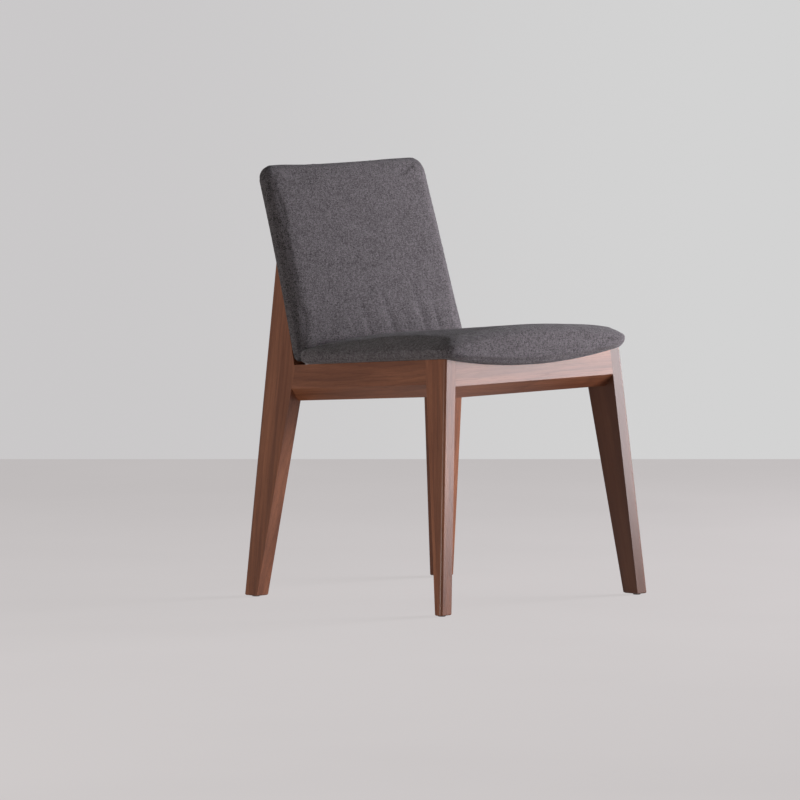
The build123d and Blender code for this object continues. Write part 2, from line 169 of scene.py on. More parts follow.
def whole(name, description, default):
    """A whole number that a user can change."""
    return IntProperty(name=name, description=description, default=default, min=2)


class WoodSettings(PropertyGroup):
    """Walnut of the frame."""

    light: colour("Light wood", "Early wood between the rings", (0.363, 0.136, 0.066))
    middle: colour("Middle wood", "Overall colour of the lacquered wood", (0.216, 0.071, 0.031))
    dark: colour("Dark wood", "Late wood and open pores", (0.095, 0.029, 0.013))
    ring: length("Ring spacing", "Distance between growth rings", 0.0085)
    roughness: amount("Roughness", "Roughness of the bare wood", 0.42)
    lacquer: amount("Lacquer", "Weight of the clear coat", 0.5)
    lacquer_roughness: amount("Lacquer roughness", "Roughness of the clear coat", 0.24)


class ClothSettings(PropertyGroup):
    """Melange cloth of the seat and the back."""

    light: colour("Light yarn", "Palest yarns of the mixture", (0.336, 0.305, 0.327))
    middle: colour("Middle yarn", "Overall colour of the cloth", (0.175, 0.157, 0.168))
    dark: colour("Dark yarn", "Darkest yarns of the mixture", (0.047, 0.042, 0.042))
    # Painted shade: the back's cloth is a darker copy of the seat's, kept at this share of its brightness
    shade_share: amount("Back shade", "Share of the brightness kept on the back, where the nap lies upwards", 0.82)
    pitch: length("Yarn pitch", "Distance between neighbouring yarns", 0.0013)
    sheen: amount("Sheen", "Weight of the soft fibre sheen", 0.18)


class PadSettings:
    """Stuffing of a pad, shared by the seat and the back."""

    voxel: length("Mesh step", "Edge length of the pad's mesh before it is subdivided", 0.005)
    pressure: amount("Pressure", "Pressure of the stuffing on the cloth", 4.0)
    swell: length("Swell", "Furthest that the cloth may move outwards", 0.002)
    frames: whole("Frames", "Length of the cloth simulation", 20)
    fill: amount("Fill", "How tight the pad is, from 0 to 1", 0.8)
    cover: length("Cover", "Least thickness of the cloth over the panel", 0.0015)


class SeatSettings(PadSettings, PropertyGroup):
    """Seat pad."""

    roll: length("Roll", "Width of the strip at the edge where the top falls away", 0.062)
    side_fall: length("Side fall", "How far the top falls at the sides", 0.0075)
    end_fall: length("End fall", "How far the top falls at the front", 0.006)
    tuck: length("Tuck", "How far the lower edge is drawn in under the nose", 0.0045)
    settle: length("Settle", "How far the whole top has settled", 0.0005)
    hip: length("Hip", "How far the stuffing lifts the top near the sides, half way along them", 0.009)
    shoulder: length("Shoulder", "Distance of the lifted ridge from the side", 0.033)
    hip_edge: amount("Hip edge", "Share of the lift at the side itself", 0.3)
    hip_width: length("Hip width", "Distance from the ridge inwards over which the lift ends", 0.085)
    hip_height: length("Hip height", "Height above the lower edge at which the lift is full", 0.024)
    hip_front: length("Hip front", "Distance from the front at which the lift is full", 0.15)
    hip_rear: length("Hip rear", "Distance from the rear at which the lift is full", 0.20)
    square: length("Square", "Size of the rear corners that the cloth pulls square", 0.016)


class BackSettings(PadSettings, PropertyGroup):
    """Back pad."""

    roll: length("Roll", "Width of the strip at the edge where the front falls away", 0.042)
    side_fall: length("Side fall", "How far the front falls at the sides, half way up", 0.0075)
    end_fall: length("End fall", "How far the front falls at the top and the bottom", 0.004)
    square: length("Square", "Size of the bottom corners that the cloth pulls square", 0.018)
    pull: length("Pull", "Depth of the pull folds above the seat", 0.0016)
    lift: length("Lift", "How far the top edge stands up at its higher end", 0.0042)


class LiningSettings(PropertyGroup):
    """Lining under the seat."""

    rows: whole("Rows", "Rows of the lining's mesh from front to rear", 48)
    columns: whole("Columns", "Columns of the lining's mesh from left to right", 64)
    thickness: length("Thickness", "Thickness of the lining cloth", 0.0004)
    ripple: length("Ripple", "Depth of the ripples between staples", 0.0012)
    drop: length("Drop", "Distance below the panel, over the cloth that is turned in there", 0.0018)


class RowSettings:
    """A row of short wires or threads, shared by the staples and the stitches."""

    spacing: length("Spacing", "Distance between neighbours in the row", 0.032)
    reach: length("Length", "Length of each one along the row", 0.010)
    wire: length("Wire", "Thickness of the wire or thread", 0.0011)
    inset: length("Inset", "Distance of the row from the edge of the cloth", 0.006)


class StapleSettings(RowSettings, PropertyGroup):
    """Staples that hold the lining."""


class SeamSettings(RowSettings, PropertyGroup):
    """Hand-sewn seam that closes the back's cover behind."""

    spacing: length("Spacing", "Distance between neighbours in the row", 0.009)
    reach: length("Length", "Length of each one along the row", 0.0055)
    wire: length("Wire", "Thickness of the wire or thread", 0.0009)
    inset: length("Inset", "Distance of the row from the edge of the cloth", 0.030)
    half: length("Half length", "Distance from the middle of the seam to its end", 0.185)
    crease: length("Crease", "Depth of the crease along the seam", 0.0012)
    crease_width: length("Crease width", "Distance from the seam over which the crease dies out", 0.0045)
    fade: length("Fade", "Length at each end over which the crease begins", 0.01)


class StageSettings(PropertyGroup):
    """Camera, floor and lights."""

    azimuth: angle("Azimuth", "Direction of the camera round the chair", -46.158)
    pitch: angle("Pitch", "Angle that the camera looks down", 4.453)
    distance: length("Distance", "Distance of the camera from its aim", 12.5)
    aim: FloatVectorProperty(
        name="Aim",
        description="Point that the camera looks at",
        default=(-0.0547, 0.0437, 0.3458),
        unit="LENGTH",
    )
    lens: FloatProperty(name="Lens", description="Focal length in millimetres", default=319.63)
    floor_reach: length("Floor reach", "Distance from the chair to the floor's far edge", 2.79)
    floor: colour("Floor", "Colour of the floor", (0.642, 0.612, 0.611))
    evenness: amount("Evenness", "Share of the floor's colour that shows no light or shadow", 0.85)
    bounce: amount("Bounce", "Share of the floor's colour in the light that it throws back", 0.55)
    wall_left: colour("Wall left", "Colour behind the chair, at the left", (0.592, 0.580, 0.585))
    wall_right: colour("Wall right", "Colour behind the chair, at the right", (0.651, 0.651, 0.651))
    window: amount("Window", "Power of the low soft light in front, at the right, in watts", 27.0)
    sky: amount("Sky", "Power of the broad soft light further to the right, in watts", 132.0)
    room: amount("Room", "Power of the weaker soft light at the left, in watts", 42.0)
    fill: amount("Fill", "Strength of the light from all round", 0.32)


class ChairSettings(PropertyGroup):
    """All settings of the chair."""

    wood: PointerProperty(type=WoodSettings)
    cloth: PointerProperty(type=ClothSettings)
    seat: PointerProperty(type=SeatSettings)
    back: PointerProperty(type=BackSettings)
    lining: PointerProperty(type=LiningSettings)
    staples: PointerProperty(type=StapleSettings)
    seam: PointerProperty(type=SeamSettings)
    stage: PointerProperty(type=StageSettings)


# Node trees


class Value:
    """An output socket. Arithmetic on it adds Math nodes to its tree."""

    def __init__(self, graph, socket):
        self.graph = graph
        self.socket = socket

    def math(self, operation, *others):
        """A Math node with this value first."""
        return self.graph.math(operation, self, *others)

    def __add__(self, other):
        return self.math("ADD", other)

    __radd__ = __add__

    def __sub__(self, other):
        return self.math("SUBTRACT", other)

    def __rsub__(self, other):
        return self.graph.math("SUBTRACT", other, self)

    def __mul__(self, other):
        return self.math("MULTIPLY", other)

    def __truediv__(self, other):
        return self.math("DIVIDE", other)

    def __pow__(self, other):
        return self.math("POWER", other)

    def __mod__(self, other):
        return self.math("FLOORED_MODULO", other)


class Graph:
    """A node tree that is being built."""

    def __init__(self, tree):
        self.tree = tree

    def node(self, kind, settings=None, inputs=None, out=0):
        """A new node: its settings are made first, then its sockets filled, and one output is returned."""
        node = self.tree.nodes.new(kind)
        for key, value in (settings or {}).items():
            if key == "stops":
                self.fill_ramp(node.color_ramp, value)
            else:
                setattr(node, key, value)
        for key, value in (inputs or {}).items():
            if isinstance(value, Value):
                self.tree.links.new(value.socket, node.inputs[key])
            else:
                node.inputs[key].default_value = value
        return Value(self, node.outputs[out]) if len(node.outputs) else node

    @staticmethod
    def fill_ramp(ramp, stops):
        """Stops of a colour ramp, as pairs of a place and a colour."""
        while len(ramp.elements) < len(stops):
            ramp.elements.new(1.0)
        for element, (place, shade) in zip(ramp.elements, stops):
            element.position = place
            element.color = (*shade, 1.0)

    def math(self, operation, *values):
        """A Math node on values and plain numbers."""
        return self.node("ShaderNodeMath", {"operation": operation}, dict(enumerate(values)))

    def smooth(self, value, low, high):
        """A smooth step from 0 at low to 1 at high."""
        settings = {"interpolation_type": "SMOOTHSTEP"}
        return self.node("ShaderNodeMapRange", settings, {"Value": value, "From Min": low, "From Max": high})

    def mix(self, factor, *shades):
        """Two colours mixed by a factor. Each is a value or three plain numbers."""
        first, second = (shade if isinstance(shade, Value) else (*shade, 1) for shade in shades)
        return self.node("ShaderNodeMix", {"data_type": "RGBA"}, {0: factor, 6: first, 7: second}, 2)

    def stretch(self, vector, scale):
        """A vector multiplied by a scale on each axis."""
        return self.node("ShaderNodeVectorMath", {"operation": "MULTIPLY"}, {0: vector, 1: scale})

    def place(self):
        """Coordinates of the object."""
        return self.node("ShaderNodeTexCoord", {}, {}, "Object")

    def along(self, vector, direction):
        """Length of a vector along a direction."""
        settings = {"operation": "DOT_PRODUCT"}
        return self.node("ShaderNodeVectorMath", settings, {0: vector, 1: direction}, "Value")

    def noise(self, vector, scale, detail):
        """Smooth noise with its own scale on each axis."""
        inputs = {"Vector": self.stretch(vector, scale), "Scale": 1.0, "Detail": detail}
        return self.node("ShaderNodeTexNoise", {}, inputs)

    def cells(self, x, y):
        """A random number for each whole step of two values."""
        place = self.node("ShaderNodeCombineXYZ", {}, {"X": x, "Y": y})
        return self.node("ShaderNodeTexWhiteNoise", {"noise_dimensions": "2D"}, {"Vector": place}, "Value")

    def split(self, vector):
        """The three parts of a vector."""
        node = self.tree.nodes.new("ShaderNodeSeparateXYZ")
        self.tree.links.new(vector.socket, node.inputs[0])
        return [Value(self, socket) for socket in node.outputs]

    def background_rays(self):
        """1 for a ray that shows the background: from the camera, off a gloss or through glass."""
        path = self.tree.nodes.new("ShaderNodeLightPath")
        camera, gloss, glass = (Value(self, path.outputs[f"Is {ray} Ray"]) for ray in BACKGROUND_RAYS)
        return camera.math("MAXIMUM", gloss.math("MAXIMUM", glass))

    def bump(self, height, distance, strength):
        """A normal bent by a height."""
        return self.node("ShaderNodeBump", {}, {"Height": height, "Distance": distance, "Strength": strength})


def new_material(name):
    """An empty material, its graph, and a function that finishes it with a Principled shader."""
    material = bpy.data.materials.new(name)
    material.use_nodes = True
    material.node_tree.nodes.clear()
    graph = Graph(material.node_tree)

    def finish(inputs):
        shader = graph.node("ShaderNodeBsdfPrincipled", {}, inputs)
        graph.node("ShaderNodeOutputMaterial", {}, {"Surface": shader})
        return material

    return graph, finish


# Finishes


def board_axes(node):
    """Long, broad and thin directions of a CAD piece, from the spread of its surface."""
    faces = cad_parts[node].data.polygons
    centres, areas = read(faces, "center", 3), read(faces, "area", 1)
    middle = np.average(centres, axis=0, weights=areas[:, 0])
    spread = (centres - middle).T @ ((centres - middle) * areas)
    directions = np.linalg.eigh(spread)[1].T[::-1]
    if np.linalg.det(directions) < 0:
        directions[2] *= -1
    return Matrix([Vector(direction) for direction in directions]), Vector(middle)


def walnut(node, wood, seed, tone):
    """Lacquered walnut with its grain along one member, whose tone is its share of the wood's brightness."""
    graph, finish = new_material(f"walnut_{node}")
    axes, centre = board_axes(node)
    random = np.random.default_rng(seed)
    shift = Vector(random.uniform(-3, 3, 3))
    pith = random.uniform(0.035, 0.075, 2)
    inputs = {"Vector": graph.place(), "Rotation": axes.to_euler(), "Location": -(axes @ centre)}
    grain = graph.node("ShaderNodeMapping", {}, inputs)
    moved = graph.node("ShaderNodeVectorMath", {"operation": "ADD"}, {0: grain, 1: shift})
    _, broad, thin = graph.split(grain)
    wander = graph.noise(moved, (3.2, 11, 11), 3) - 0.5
    radius = ((broad + float(pith[0])) ** 2 + (thin + float(pith[1])) ** 2) ** 0.5 + wander * 0.034
    ring = (radius / wood.ring).math("FRACT")
    late = ring ** 2 * graph.smooth(ring, 1.0, 0.86)
    fibre = graph.noise(moved, (9, 620, 620), 3)
    pore = graph.smooth(graph.noise(moved, (48, 1900, 1900), 1), 0.60, 0.72)
    figure = graph.smooth(graph.noise(moved, (3.0, 34, 34), 3), 0.32, 0.70)
    streak = graph.smooth(graph.noise(moved, (2.4, 52, 52), 3), 0.46, 0.74)
    shade = graph.mix(figure, Vector(wood.middle) * tone, Vector(wood.light) * tone)
    dark_fibre = graph.smooth(fibre, 0.42, 0.78)
    for mark, strength in ((streak, 0.5), (late, 0.36), (dark_fibre, 0.40), (pore, 0.55)):
        shade = graph.mix(mark * strength, shade, wood.dark)
    relief = fibre * 0.4 - pore - late * 0.3
    inputs = {
        "Base Color": shade,
        "Roughness": wood.roughness + fibre * 0.10,
        "Specular IOR Level": 0.1,
        "Coat Weight": wood.lacquer - pore * 0.2,
        "Coat Roughness": wood.lacquer_roughness,
        "Normal": graph.bump(relief, 0.0002, 0.12),
    }
    return finish(inputs)


def bare_wood(name, pale, deep, plies=0.0):
    """Unfinished wood for blocks and panels, with plies across the thickness where it is plywood."""
    graph, finish = new_material(name)
    place = graph.place()
    streak = graph.noise(place, (18, 260, 260), 4)
    shade = graph.mix(graph.smooth(streak, 0.35, 0.75), pale, deep)
    if plies:
        height = graph.split(place)[2]
        layer = ((height / plies) % 2.0).math("FLOOR")
        shade = graph.mix(layer * 0.5, shade, deep)
    relief = graph.bump(streak, 0.0003, 0.3)
    return finish({"Base Color": shade, "Roughness": 0.65 + streak * 0.15, "Normal": relief})


def melange(name, cloth, shade_share):
    """Charcoal melange cloth in a plain weave of mixed yarns, darkened as painted shade where its share of
    brightness is below 1.
    """
    graph, finish = new_material(name)
    light, middle, dark = (Vector(shade) * shade_share for shade in (cloth.light, cloth.middle, cloth.dark))
    across, along, _ = graph.split(graph.node("ShaderNodeUVMap", {"uv_map": "weave"}))
    warp = across / cloth.pitch
    weft = along / cloth.pitch
    column, row = warp.math("FLOOR"), weft.math("FLOOR")
    warp_round = (warp.math("FRACT") * pi).math("SINE")
    weft_round = (weft.math("FRACT") * pi).math("SINE")
    over = (column + row) % 2.0
    top_warp = warp_round * (1 - YARN_DIP + weft_round * YARN_DIP)
    top_weft = weft_round * (1 - YARN_DIP + warp_round * YARN_DIP)
    height = top_weft + over * (top_warp - top_weft)
    warp_shift, weft_shift = YARN_SHIFTS
    warp_tone = graph.cells(column, (weft / YARN_RUN + column * warp_shift).math("FLOOR"))
    weft_tone = graph.cells(row + WEFT_START, (warp / YARN_RUN + row * weft_shift).math("FLOOR"))
    tone = weft_tone + over * (warp_tone - weft_tone)
    place = graph.place()
    fleck = graph.noise(place, (520,) * 3, 2)
    cloud = graph.noise(place, (38,) * 3, 2)
    level = tone * 0.55 + fleck * 0.75 + cloud * 0.22 - 0.26
    settings = {"stops": [(0.18, dark), (0.5, middle), (0.95, light)]}
    shade = graph.node("ShaderNodeValToRGB", settings, {"Fac": level})
    # Painted shade: the low parts of the yarns, where they dip at the crossings, are darkened
    shade = graph.mix((1 - height) * 0.45, shade, dark)
    inputs = {
        "Base Color": shade,
        "Roughness": 0.88 + height * 0.08,
        "Specular IOR Level": 0.1,
        "Sheen Weight": cloth.sheen,
        "Sheen Roughness": 0.45,
        "Normal": graph.bump(height + fleck * 0.5, 0.0005, 0.55),
    }
    return finish(inputs)


def lining_cloth():
    """Thin black bonded lining."""
    graph, finish = new_material("lining_cloth")
    fibre = graph.noise(graph.place(), (900,) * 3, 3)
    shade = graph.mix(graph.smooth(fibre, 0.3, 0.75), (0.010, 0.010, 0.011), (0.040, 0.040, 0.043))
    return finish({"Base Color": shade, "Roughness": 0.9, "Normal": graph.bump(fibre, 0.0003, 0.4)})


def zinc_steel():
    """Zinc-plated steel of the fasteners."""
    graph, finish = new_material("zinc_steel")
    bloom = graph.noise(graph.place(), (220,) * 3, 3)
    shade = graph.mix(bloom, (0.42, 0.43, 0.46), (0.66, 0.66, 0.64))
    return finish({"Base Color": shade, "Metallic": 1.0, "Roughness": 0.28 + bloom * 0.22})


def glide_plastic():
    """Dark moulded plastic of the glides."""
    graph, finish = new_material("glide_plastic")
    grit = graph.noise(graph.place(), (1400,) * 3, 2)
    shade = graph.mix(grit, (0.020, 0.019, 0.018), (0.050, 0.048, 0.045))
    relief = graph.bump(grit, 0.0001, 0.3)
    return finish({"Base Color": shade, "Roughness": 0.5 + grit * 0.2, "Normal": relief})


def thread():
    """Dark sewing thread with a twist."""
    graph, finish = new_material("thread")
    ply = graph.noise(graph.place(), (2400, 900, 900), 2)
    shade = graph.mix(ply, (0.018, 0.016, 0.017), (0.075, 0.070, 0.074))
    relief = graph.bump(ply, 0.0002, 0.4)
    return finish({"Base Color": shade, "Roughness": 0.7 + ply * 0.15, "Normal": relief})


def coat(obj, material):
    """One finish on the whole of an object."""
    obj.data.materials.clear()
    obj.data.materials.append(material)


def dress(material, *nodes):
    """CAD pieces that keep their shape and take a finish."""
    for node in nodes:
        coat(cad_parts[node], material)


# Meshes


def read(items, name, width, kind=float):
    """One property of all items, in an array with a row for each."""
    values = np.empty(len(items) * width, dtype=kind)
    items.foreach_get(name, values)
    return values.reshape(-1, width)


def coordinates(mesh):
    """A mesh's points as rows of an array."""
    return read(mesh.vertices, "co", 3)


def normals(mesh):
    """A mesh's point normals as rows of an array."""
    return read(mesh.vertex_normals, "vector", 3)


def move_points(mesh, points):
    """New places for a mesh's points."""
    mesh.vertices.foreach_set("co", np.ascontiguousarray(points, dtype=np.float32).ravel())
    mesh.update()


def new_object(name, data):
    """An object in the scene for a mesh, a lamp or a camera."""
    obj = bpy.data.objects.new(name, data)
    bpy.context.scene.collection.objects.link(obj)
    return obj


def settle(obj):
    """The object's modifiers made part of its mesh, which is shaded smooth."""
    bpy.context.view_layer.update()
    graph = bpy.context.evaluated_depsgraph_get()
    mesh = bpy.data.meshes.new_from_object(obj.evaluated_get(graph))
    obj.modifiers.clear()
    obj.data = mesh
    mesh.name = obj.name
    mesh.polygons.foreach_set("use_smooth", [True] * len(mesh.polygons))
    mesh.update()


def finished_mesh(name, build):
    """A mesh from what has been built, which is then freed."""
    mesh = bpy.data.meshes.new(name)
    build.to_mesh(mesh)
    build.free()
    return mesh


def solid_copy(name, nodes):
    """One mesh of merged copies of CAD solids."""
    build = bmesh.new()
    for node in nodes:
        build.from_mesh(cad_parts[node].data)
    bmesh.ops.remove_doubles(build, verts=build.verts, dist=1e-6)
    return finished_mesh(name, build)


def solid_tree(node):
    """Search tree of a CAD piece."""
    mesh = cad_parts[node].data
    points = [point.co.copy() for point in mesh.vertices]
    return BVHTree.FromPolygons(points, [tuple(face.vertices) for face in mesh.polygons])


def stuffed(name, nodes, pad, held):
    """A pad round CAD solids: remeshed, and pressed out as cloth with its held side fixed."""
    obj = new_object(name, solid_copy(name, nodes))
    remesh = obj.modifiers.new("Body", "REMESH")
    remesh.mode = "VOXEL"
    remesh.voxel_size = pad.voxel
    settle(obj)
    press_out(obj, pad, held(normals(obj.data)))
    return obj


def press_out(obj, pad, held):
    """Cloth under pressure from inside, with no point moved further than the swell."""
    rest = coordinates(obj.data)
    group = obj.vertex_groups.new(name="held")
    group.add([int(index) for index in np.flatnonzero(held)], 1.0, "REPLACE")
    cloth = obj.modifiers.new("Cloth", "CLOTH")
    rules = cloth.settings
    rules.quality = 6
    rules.mass = 0.25
    rules.tension_stiffness = 14
    rules.compression_stiffness = 14
    rules.bending_stiffness = 0.8
    rules.use_pressure = True
    rules.uniform_pressure_force = pad.pressure
    rules.vertex_group_mass = group.name
    rules.effector_weights.gravity = 0
    cloth.collision_settings.use_collision = False
    cloth.point_cache.frame_start = 1
    cloth.point_cache.frame_end = pad.frames
    for step in range(1, pad.frames + 1):
        bpy.context.scene.frame_set(step)
    graph = bpy.context.evaluated_depsgraph_get()
    moves = coordinates(obj.evaluated_get(graph).data) - rest
    obj.modifiers.clear()
    obj.vertex_groups.clear()
    bpy.context.scene.frame_set(1)
    facing = normals(obj.data)
    rise = np.clip((moves * facing).sum(axis=1), 0, pad.swell)
    move_points(obj.data, rest + facing * rise[:, None])


def keep_clear(obj, node, room):
    """Points closer to a CAD piece than the room are moved off it."""
    solid = solid_tree(node)
    points = coordinates(obj.data)
    for index, point in enumerate(points):
        near, normal, _, _ = solid.find_nearest(Vector(point))
        short = room - (Vector(point) - near).dot(normal)
        if 0 < short < 4 * room:
            points[index] = Vector(point) + normal * short
    move_points(obj.data, points)


def subdivide(obj):
    """One level of subdivision, made part of the mesh."""
    finer = obj.modifiers.new("Subdivision", "SUBSURF")
    finer.levels = 1
    finer.render_levels = 1
    settle(obj)


def lay_weave(obj, axes):
    """A UV map in metres that follows the pad's six sides, so that the weave keeps its size."""
    mesh = obj.data
    turn = np.array(axes).T
    directions = np.abs(read(mesh.polygons, "normal", 3) @ turn)
    sizes = read(mesh.polygons, "loop_total", 1, int)[:, 0]
    facing = np.repeat(directions.argmax(axis=1), sizes)
    corners = read(mesh.loops, "vertex_index", 1, int)[:, 0]
    columns = np.array([(1, 2), (0, 2), (0, 1)])[facing]
    pairs = np.take_along_axis((coordinates(mesh) @ turn)[corners], columns, axis=1)
    layer = mesh.uv_layers.new(name="weave")
    layer.data.foreach_set("uv", pairs.astype(np.float32).ravel())


def add_piece(obj, material):
    """A finished piece of the chair, with its material, attached to the chair's body."""
    coat(obj, material)
    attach(obj, BODY)


def bump_curve(distance, width):
    """A soft bump of height 1 round distance 0."""
    return np.exp(-((distance / width) ** 2))


def ramp(values, low, high):
    """A smooth step from 0 at low to 1 at high."""
    share = np.clip((values - low) / (high - low), 0, 1)
    return share * share * (3 - 2 * share)


def row_tree():
    """Geometry nodes that lay short rounded wires along a path, flat on the surface of another object."""
    name = "wire_row"
    if name in bpy.data.node_groups:
        return bpy.data.node_groups[name]
    tree = bpy.data.node_groups.new(name, "GeometryNodeTree")
    kinds = {"Path": "Geometry", "Surface": "Object", "Material": "Material"}
    kinds |= dict.fromkeys(("Spacing", "Length", "Wire"), "Float")
    for label, kind in kinds.items():
        tree.interface.new_socket(label, in_out="INPUT", socket_type=f"NodeSocket{kind}")
    tree.interface.new_socket("Wires", in_out="OUTPUT", socket_type="NodeSocketGeometry")
    graph = Graph(tree)
    given = [Value(graph, socket) for socket in tree.nodes.new("NodeGroupInput").outputs]
    path, surface, material, spacing, reach, wire = given[: len(kinds)]
    curve = graph.node("GeometryNodeMeshToCurve", {}, {"Mesh": path})
    spaced = graph.node("GeometryNodeResampleCurve", {"mode": "LENGTH"}, {"Curve": curve, "Length": spacing})
    settings = {"transform_space": "RELATIVE"}
    cloth = graph.node("GeometryNodeObjectInfo", settings, {"Object": surface}, "Geometry")
    inputs = {"Mesh": cloth, "Value": graph.node("GeometryNodeInputNormal")}
    facing = graph.node("GeometryNodeSampleNearestSurface", {"data_type": "FLOAT_VECTOR"}, inputs)
    flat = graph.node("FunctionNodeAlignRotationToVector", {"axis": "Z"}, {"Vector": facing})
    inputs = {"Rotation": flat, "Vector": graph.node("GeometryNodeInputTangent")}
    turn = graph.node("FunctionNodeAlignRotationToVector", {"axis": "X", "pivot_axis": "Z"}, inputs)
    size = graph.node("ShaderNodeCombineXYZ", {}, {"X": reach, "Y": wire, "Z": wire})
    bar = graph.node("GeometryNodeMeshCube", {}, {"Size": size, "Vertices X": 4})
    rounded = graph.node("GeometryNodeSubdivisionSurface", {}, {"Mesh": bar, "Level": 1})
    inputs = {"Points": spaced, "Instance": rounded, "Rotation": turn}
    placed = graph.node("GeometryNodeInstanceOnPoints", {}, inputs)
    solid = graph.node("GeometryNodeRealizeInstances", {}, {"Geometry": placed})
    finished = graph.node("GeometryNodeSetMaterial", {}, {"Geometry": solid, "Material": material})
    graph.node("NodeGroupOutput", {}, {"Wires": finished})
    return tree


def wire_row(name, path, closed, surface, row, material):
    """A piece of short wires along a path of points on a cloth."""
    ends = [(index, index + 1) for index in range(len(path) - 1)] + [(len(path) - 1, 0)] * closed
    mesh = bpy.data.meshes.new(name)
    mesh.from_pydata(path, ends, [])
    obj = new_object(name, mesh)
    nodes = obj.modifiers.new("Row", "NODES")
    nodes.node_group = row_tree()
    values = {"Surface": surface, "Material": material}
    values |= {"Spacing": row.spacing, "Length": row.reach, "Wire": row.wire}
    for socket in nodes.node_group.interface.items_tree:
        if socket.name in values:
            nodes[socket.identifier] = values[socket.name]
    settle(obj)
    if not obj.data.polygons:
        raise RuntimeError(f"{name} has no wires")
    add_piece(obj, material)


# Operators


def four(piece):
    """Names of the four CAD pieces of a kind, one at each corner of the chair."""
    return [f"{end}_{piece}_{side}" for end in ENDS for side in SIDES]


class CHAIR_OT_wood_frame(Operator):
    """Give the legs, rails and plugs their walnut, and the inner wood its bare finish"""

    bl_idname = "chair.wood_frame"
    bl_label = "Wood frame"

    def execute(self, context):
        wood = context.scene.side_chair.wood
        members = four("leg") + [f"side_rail_{side}" for side in SIDES]
        members += [f"{end}_rail" for end in ENDS] + ["post_plugs"]
        for seed, node in enumerate(members):
            # A member's tone can carry painted shade, as for front_leg_left
            dress(walnut(node, wood, seed, MEMBER_TONES_AND_SHADE.get(node, 1.0)), node)
        beech = bare_wood("bare_beech", (0.52, 0.36, 0.22), (0.38, 0.24, 0.13))
        dress(beech, *four("block"), "rail_dowels")
        plywood = bare_wood("plywood", (0.58, 0.43, 0.27), (0.40, 0.27, 0.15), plies=0.0015)
        dress(plywood, "seat_panel", "back_panel")
        return {"FINISHED"}


class CHAIR_OT_hardware(Operator):
    """Give the fasteners and the glides their finishes"""

    bl_idname = "chair.hardware"
    bl_label = "Fasteners and glides"

    def execute(self, context):
        dress(zinc_steel(), *STEEL_NODES)
        dress(glide_plastic(), *four("glide"))
        return {"FINISHED"}


class CHAIR_OT_seat_pad(Operator):
    """Make the seat pad and its cloth"""

    bl_idname = "chair.seat_pad"
    bl_label = "Seat pad"

    def execute(self, context):
        settings = context.scene.side_chair
        seat = settings.seat
        layers = ("seat_cover", "seat_foam", "seat_panel")
        pad = stuffed("seat_pad", layers, seat, lambda facing: facing[:, 2] < SEAT_HELD)
        self.ease_edges(pad, seat)
        subdivide(pad)
        keep_clear(pad, "seat_panel", seat.cover)
        lay_weave(pad, Matrix.Identity(3))
        add_piece(pad, melange("seat_cloth", settings.cloth, 1.0))
        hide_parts("seat_cover", "seat_foam")
        return {"FINISHED"}

    def ease_edges(self, pad, seat):
        """The top falls away, the lower edge is tucked in and the rear corners are pulled square."""
        points, facing = coordinates(pad.data), normals(pad.data)
        upward = facing[:, 2]
        rear = points[:, 1].max() - points[:, 1]
        half = tapered_half(points, rear, seat.roll)
        side = edge_fall(half - np.abs(points[:, 0]), seat.roll, seat.side_fall)
        front = edge_fall(points[:, 1] - points[:, 1].min(), seat.roll, seat.end_fall)
        fall = np.maximum(side, front) + CORNER_SHARE * np.minimum(side, front) + seat.settle
        points[:, 2] -= fall * ramp(upward, *TOP_ZONE) * ramp(rear, 0, 3 * seat.roll)
        level = np.maximum(np.hypot(facing[:, 0], facing[:, 1]), 0.5)
        nose = 2 * ramp(upward, *BELOW_NOSE) - 1 - ramp(upward, *ABOVE_NOSE)
        points[:, :2] += facing[:, :2] * (nose * seat.tuck * ramp(rear, 0, seat.roll) / level)[:, None]
        points[:, 2] += self.hip_lift(points, half - np.abs(points[:, 0]), seat)
        square_corners(points, half, rear, seat.square, 1)
        move_points(pad.data, points)

    def hip_lift(self, points, inside, seat):
        """How far the stuffing lifts the top to a ridge along the sides, with nothing at the corners."""
        front, rear = points[:, 1] - points[:, 1].min(), points[:, 1].max() - points[:, 1]
        above = points[:, 2] - lower_edge(front, points[:, 2], inside)
        outer = seat.hip_edge + (1 - seat.hip_edge) * inside / seat.shoulder
        inner = 1 - (inside - seat.shoulder) / seat.hip_width
        lift = np.clip(np.minimum(outer, inner), 0, 1) * np.clip(above / seat.hip_height, 0, 1)
        lift *= ramp(front, 0, seat.hip_front) * ramp(rear, 0, seat.hip_rear)
        return lift * seat.hip


def lower_edge(front, heights, inside, strip=0.015, rows=24):
    """Height of a pad's lower edge beside each point, from the lowest points in rows along its sides."""
    edge = inside < strip
    steps = np.linspace(0, front.max(), rows + 1)
    place = np.digitize(front[edge], steps) - 1
    lowest = [heights[edge][place == row].min() for row in range(rows)]
    return np.interp(front, (steps[:-1] + steps[1:]) / 2, lowest)


